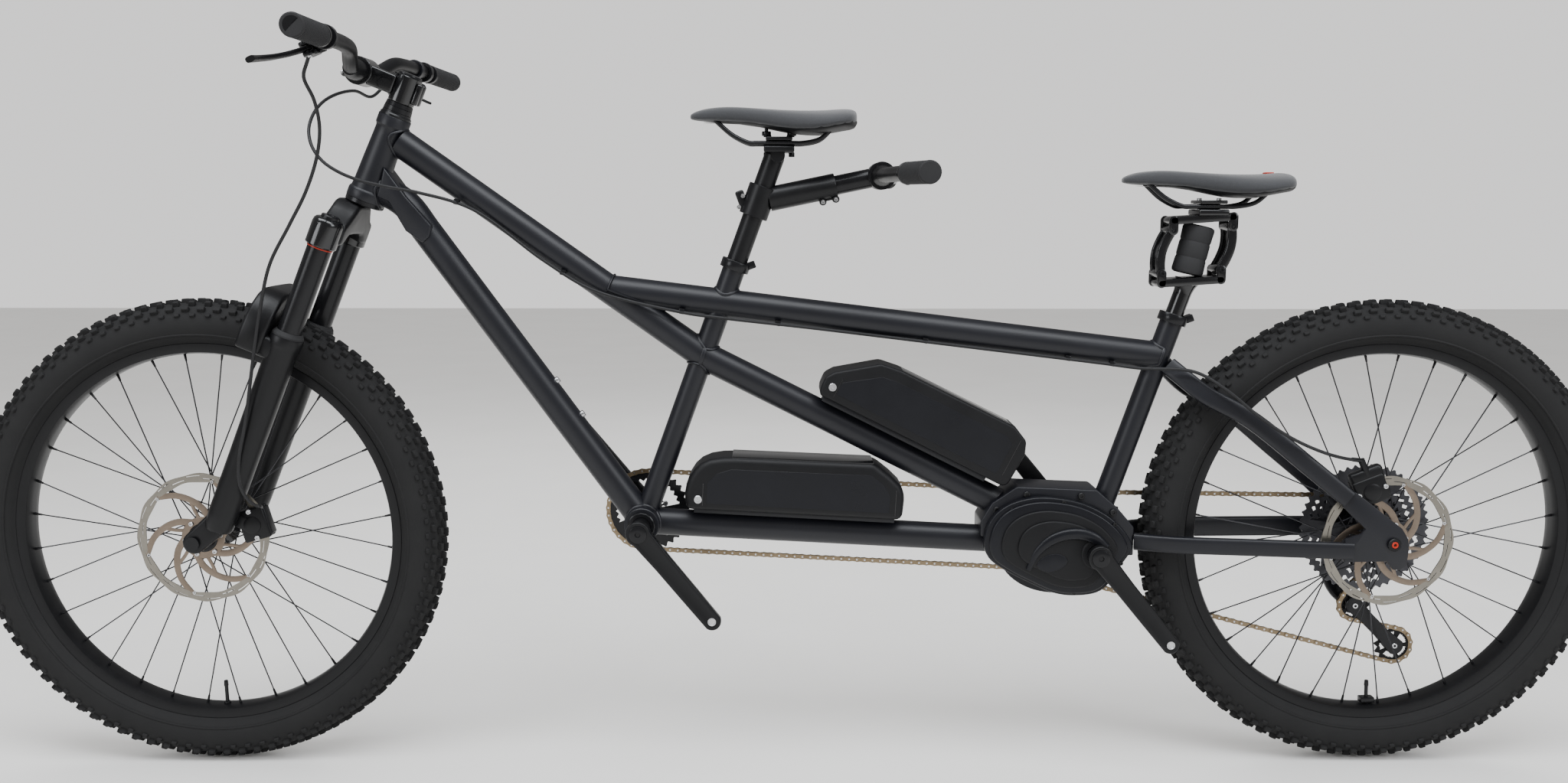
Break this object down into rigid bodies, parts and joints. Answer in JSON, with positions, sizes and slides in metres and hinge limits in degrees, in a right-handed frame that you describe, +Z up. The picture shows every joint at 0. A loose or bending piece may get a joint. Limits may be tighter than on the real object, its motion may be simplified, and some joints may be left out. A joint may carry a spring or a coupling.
{
  "type": "tandem bicycle",
  "caption": "Tandem mountain bicycle with two saddles and two cranksets, a mid motor, two battery packs on the frame tubes, a suspension fork and a parallelogram seatpost.",
  "frame": {"origin": "on the ground in the middle plane, midway between the two wheel axles", "axes": "+X towards the rear wheel, +Y towards the chain side (the rider's right), +Z up"},
  "size_m": [2.556, 0.8024, 1.1119],
  "materials": {
    "frame_paint": "satin black-violet paint",
    "housing_plastic": "fine-grained matte black plastic",
    "gloss_alloy": "gloss black paint on alloy",
    "black_alloy": "satin black anodised alloy",
    "saddle_cover": "matte synthetic cover over foam, steel rails",
    "grip_rubber": "matte black rubber",
    "tyre_rubber": "matte black rubber with knobs",
    "rotor_steel": "brushed steel with a bronze tint",
    "chain_steel": "bronze-gold plated steel"
  },
  "bodies": {
    "frame": {"head_tube": "frame_paint", "main_tube": "frame_paint", "rear_top_tube": "frame_paint", "down_tube": "frame_paint", "captain_seat_tube": "frame_paint", "boom_tube": "frame_paint", "stoker_seat_tube": "frame_paint", "seat_stays": "frame_paint", "chain_stays": "frame_paint", "motor_bracket": "frame_paint", "motor": "housing_plastic", "rear_caliper": "black_alloy", "rear_hose": "grip_rubber", "timing_chain": "chain_steel", "drive_chain": "chain_steel"},
    "captain_post": {"captain_seatpost": "black_alloy", "captain_saddle": "saddle_cover", "stoker_stem_sleeve": "black_alloy"},
    "stoker_bar_assembly": {"stoker_stem_slider": "black_alloy", "stoker_bar": "black_alloy", "stoker_left_grip": "grip_rubber", "stoker_right_grip": "grip_rubber"},
    "stoker_post_base": {"stoker_post": "black_alloy", "elastomer": "grip_rubber"},
    "front_link": {"front_link": "black_alloy"},
    "rear_link": {"rear_link": "black_alloy"},
    "stoker_seat": {"post_head": "black_alloy", "stoker_saddle": "saddle_cover"},
    "upper_battery": {"upper_battery": "housing_plastic"},
    "lower_battery": {"lower_battery": "housing_plastic"},
    "steering": {"fork_uppers": "gloss_alloy", "stem": "gloss_alloy", "handlebar": "black_alloy", "left_grip": "grip_rubber", "right_grip": "grip_rubber", "left_lever_body": "black_alloy", "right_lever_body": "black_alloy"},
    "left_brake_blade": {"left_brake_blade": "black_alloy"},
    "right_brake_blade": {"right_brake_blade": "black_alloy"},
    "shift_paddle": {"shift_paddle": "housing_plastic"},
    "lower_fork": {"fork_lowers": "black_alloy", "front_caliper": "black_alloy", "front_hose": "grip_rubber"},
    "front_wheel": {"front_wheel": "black_alloy", "front_tyre": "tyre_rubber", "front_rotor": "rotor_steel"},
    "rear_wheel": {"rear_wheel": "black_alloy", "rear_tyre": "tyre_rubber", "rear_rotor": "rotor_steel"},
    "cassette": {"cassette": "rotor_steel"},
    "front_cranks": {"front_crank_left": "black_alloy", "front_crank_right": "black_alloy", "front_chainring": "black_alloy"},
    "rear_cranks": {"rear_crank_left": "black_alloy", "rear_crank_right": "black_alloy", "rear_chainrings": "black_alloy"},
    "derailleur_body": {"derailleur_body": "black_alloy"},
    "derailleur_cage": {"derailleur_cage": "black_alloy"},
    "upper_jockey": {"upper_jockey": "housing_plastic"},
    "lower_jockey": {"lower_jockey": "housing_plastic"}
  },
  "joints": [
    {"name": "steering", "type": "hinge", "parent": "frame", "child": "steering", "pos_m": [-0.62644, 0, 0.94344], "axis": [0.3795, 0, 0.9252], "range_deg": [-50, 50], "deforming": ["rear_hose", "front_hose"]},
    {"name": "fork_travel", "type": "slide", "parent": "steering", "child": "lower_fork", "axis": [0.3795, 0, 0.9252], "range_m": [0, 0.13], "stiffness_N_per_m": 9000, "deforming": ["front_hose"]},
    {"name": "front_wheel_spin", "type": "hinge", "parent": "lower_fork", "child": "front_wheel", "pos_m": [-0.91, 0, 0.368], "axis": [0, 1, 0], "continuous": true},
    {"name": "rear_wheel_spin", "type": "hinge", "parent": "frame", "child": "rear_wheel", "pos_m": [0.91, 0, 0.368], "axis": [0, 1, 0], "continuous": true},
    {"name": "rear_crank_spin", "type": "hinge", "parent": "frame", "child": "rear_cranks", "pos_m": [0.4635, 0, 0.349], "axis": [0, 1, 0], "continuous": true, "deforming": ["timing_chain", "drive_chain"]},
    {"name": "front_crank_spin", "type": "hinge", "parent": "frame", "child": "front_cranks", "pos_m": [-0.235, 0, 0.386], "axis": [0, 1, 0], "continuous": true, "deforming": ["timing_chain"]},
    {"name": "cassette_spin", "type": "hinge", "parent": "frame", "child": "cassette", "pos_m": [0.91, 0, 0.368], "axis": [0, 1, 0], "continuous": true, "deforming": ["drive_chain"]},
    {"name": "derailleur_swing", "type": "hinge", "parent": "frame", "child": "derailleur_body", "pos_m": [0.919, 0.088, 0.339], "axis": [0, 1, 0], "range_deg": [-4, 10], "stiffness_Nm_per_rad": 2, "deforming": ["drive_chain"]},
    {"name": "cage_swing", "type": "hinge", "parent": "derailleur_body", "child": "derailleur_cage", "pos_m": [0.91, 0.0445, 0.235], "axis": [0, 1, 0], "range_deg": [-10, 40], "stiffness_Nm_per_rad": 1, "deforming": ["drive_chain"]},
    {"name": "upper_jockey_spin", "type": "hinge", "parent": "derailleur_cage", "child": "upper_jockey", "pos_m": [0.91, 0.0445, 0.235], "axis": [0, 1, 0], "continuous": true, "deforming": ["drive_chain"]},
    {"name": "lower_jockey_spin", "type": "hinge", "parent": "derailleur_cage", "child": "lower_jockey", "pos_m": [0.978, 0.0445, 0.168], "axis": [0, 1, 0], "continuous": true, "deforming": ["drive_chain"]},
    {"name": "left_brake", "type": "hinge", "parent": "steering", "child": "left_brake_blade", "pos_m": [-0.65574, -0.212, 1.08436], "axis": [-0.3859, 0, 0.9225], "range_deg": [0, 20], "stiffness_Nm_per_rad": 1.5},
    {"name": "right_brake", "type": "hinge", "parent": "steering", "child": "right_brake_blade", "pos_m": [-0.65574, 0.212, 1.08436], "axis": [0.3859, 0, -0.9225], "range_deg": [0, 20], "stiffness_Nm_per_rad": 1.5},
    {"name": "shift_paddle", "type": "hinge", "parent": "steering", "child": "shift_paddle", "pos_m": [-0.62796, 0.202, 1.0556], "axis": [0.3795, 0, 0.9252], "range_deg": [-20, 0], "stiffness_Nm_per_rad": 0.5},
    {"name": "captain_post_height", "type": "slide", "parent": "frame", "child": "captain_post", "axis": [0.342, 0, 0.9397], "range_m": [-0.06, 0.08]},
    {"name": "stoker_stem_extend", "type": "slide", "parent": "captain_post", "child": "stoker_bar_assembly", "axis": [0.9792, 0, 0.2028], "range_m": [-0.02, 0.03]},
    {"name": "stoker_post_height", "type": "slide", "parent": "frame", "child": "stoker_post_base", "axis": [0.319, 0, 0.9478], "range_m": [-0.03, 0.06]},
    {"name": "post_swing", "type": "hinge", "parent": "stoker_post_base", "child": "front_link", "pos_m": [0.55729, 0, 0.77444], "axis": [0, 1, 0], "range_deg": [0, 40], "stiffness_Nm_per_rad": 200, "deforming": ["elastomer"]},
    {"name": "rear_link_swing", "type": "hinge", "parent": "stoker_post_base", "child": "rear_link", "pos_m": [0.64729, 0, 0.78044], "axis": [0, 1, 0], "range_deg": [0, 40]},
    {"name": "seat_level", "type": "hinge", "parent": "front_link", "child": "stoker_seat", "pos_m": [0.57225, 0, 0.83923], "axis": [0, 1, 0], "range_deg": [-40, 0]},
    {"name": "upper_battery_release", "type": "slide", "parent": "frame", "child": "upper_battery", "axis": [0.4493, 0, 0.8934], "range_m": [0, 0.03]},
    {"name": "lower_battery_release", "type": "slide", "parent": "frame", "child": "lower_battery", "axis": [-0.9986, 0, 0.0529], "range_m": [0, 0.018]}
  ],
  "couplings": [
    {"joint": "front_crank_spin", "follows": "rear_crank_spin", "ratio": 1},
    {"joint": "cassette_spin", "follows": "rear_crank_spin", "ratio": 1.5},
    {"joint": "upper_jockey_spin", "follows": "rear_crank_spin", "ratio": -3},
    {"joint": "lower_jockey_spin", "follows": "rear_crank_spin", "ratio": 2.5714},
    {"joint": "rear_link_swing", "follows": "post_swing", "ratio": 1},
    {"joint": "seat_level", "follows": "post_swing", "ratio": -1}
  ]
}
